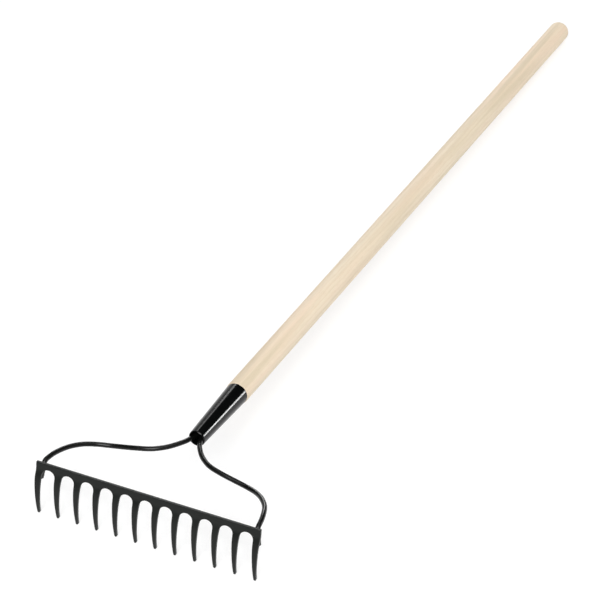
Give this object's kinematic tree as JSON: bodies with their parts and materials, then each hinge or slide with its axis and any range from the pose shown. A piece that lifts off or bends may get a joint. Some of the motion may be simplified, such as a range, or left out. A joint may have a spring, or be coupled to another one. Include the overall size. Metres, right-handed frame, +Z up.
{
  "type": "bow rake",
  "caption": "Garden bow rake with a black steel head, two bent rods, a conical ferrule and a long round wooden handle.",
  "frame": {"origin": "on the floor under the middle of the tool's length and width, with the tool lying on its tine tips and its butt", "axes": "+X across the head, towards the right-hand end tine seen from the user's end; +Y along the handle, towards the butt; +Z up from the floor"},
  "size_m": [0.2998, 1.3708, 0.077],
  "materials": {
    "black_steel": "satin",
    "gloss_black_steel": "gloss",
    "pale_wood": "satin"
  },
  "bodies": {
    "root": {"rake_head": "black_steel", "bow_arm_left": "black_steel", "bow_arm_right": "black_steel", "weld_left": "black_steel", "weld_right": "black_steel", "ferrule": "gloss_black_steel", "ferrule_nail": "gloss_black_steel", "handle": "pale_wood"}
  },
  "joints": []
}
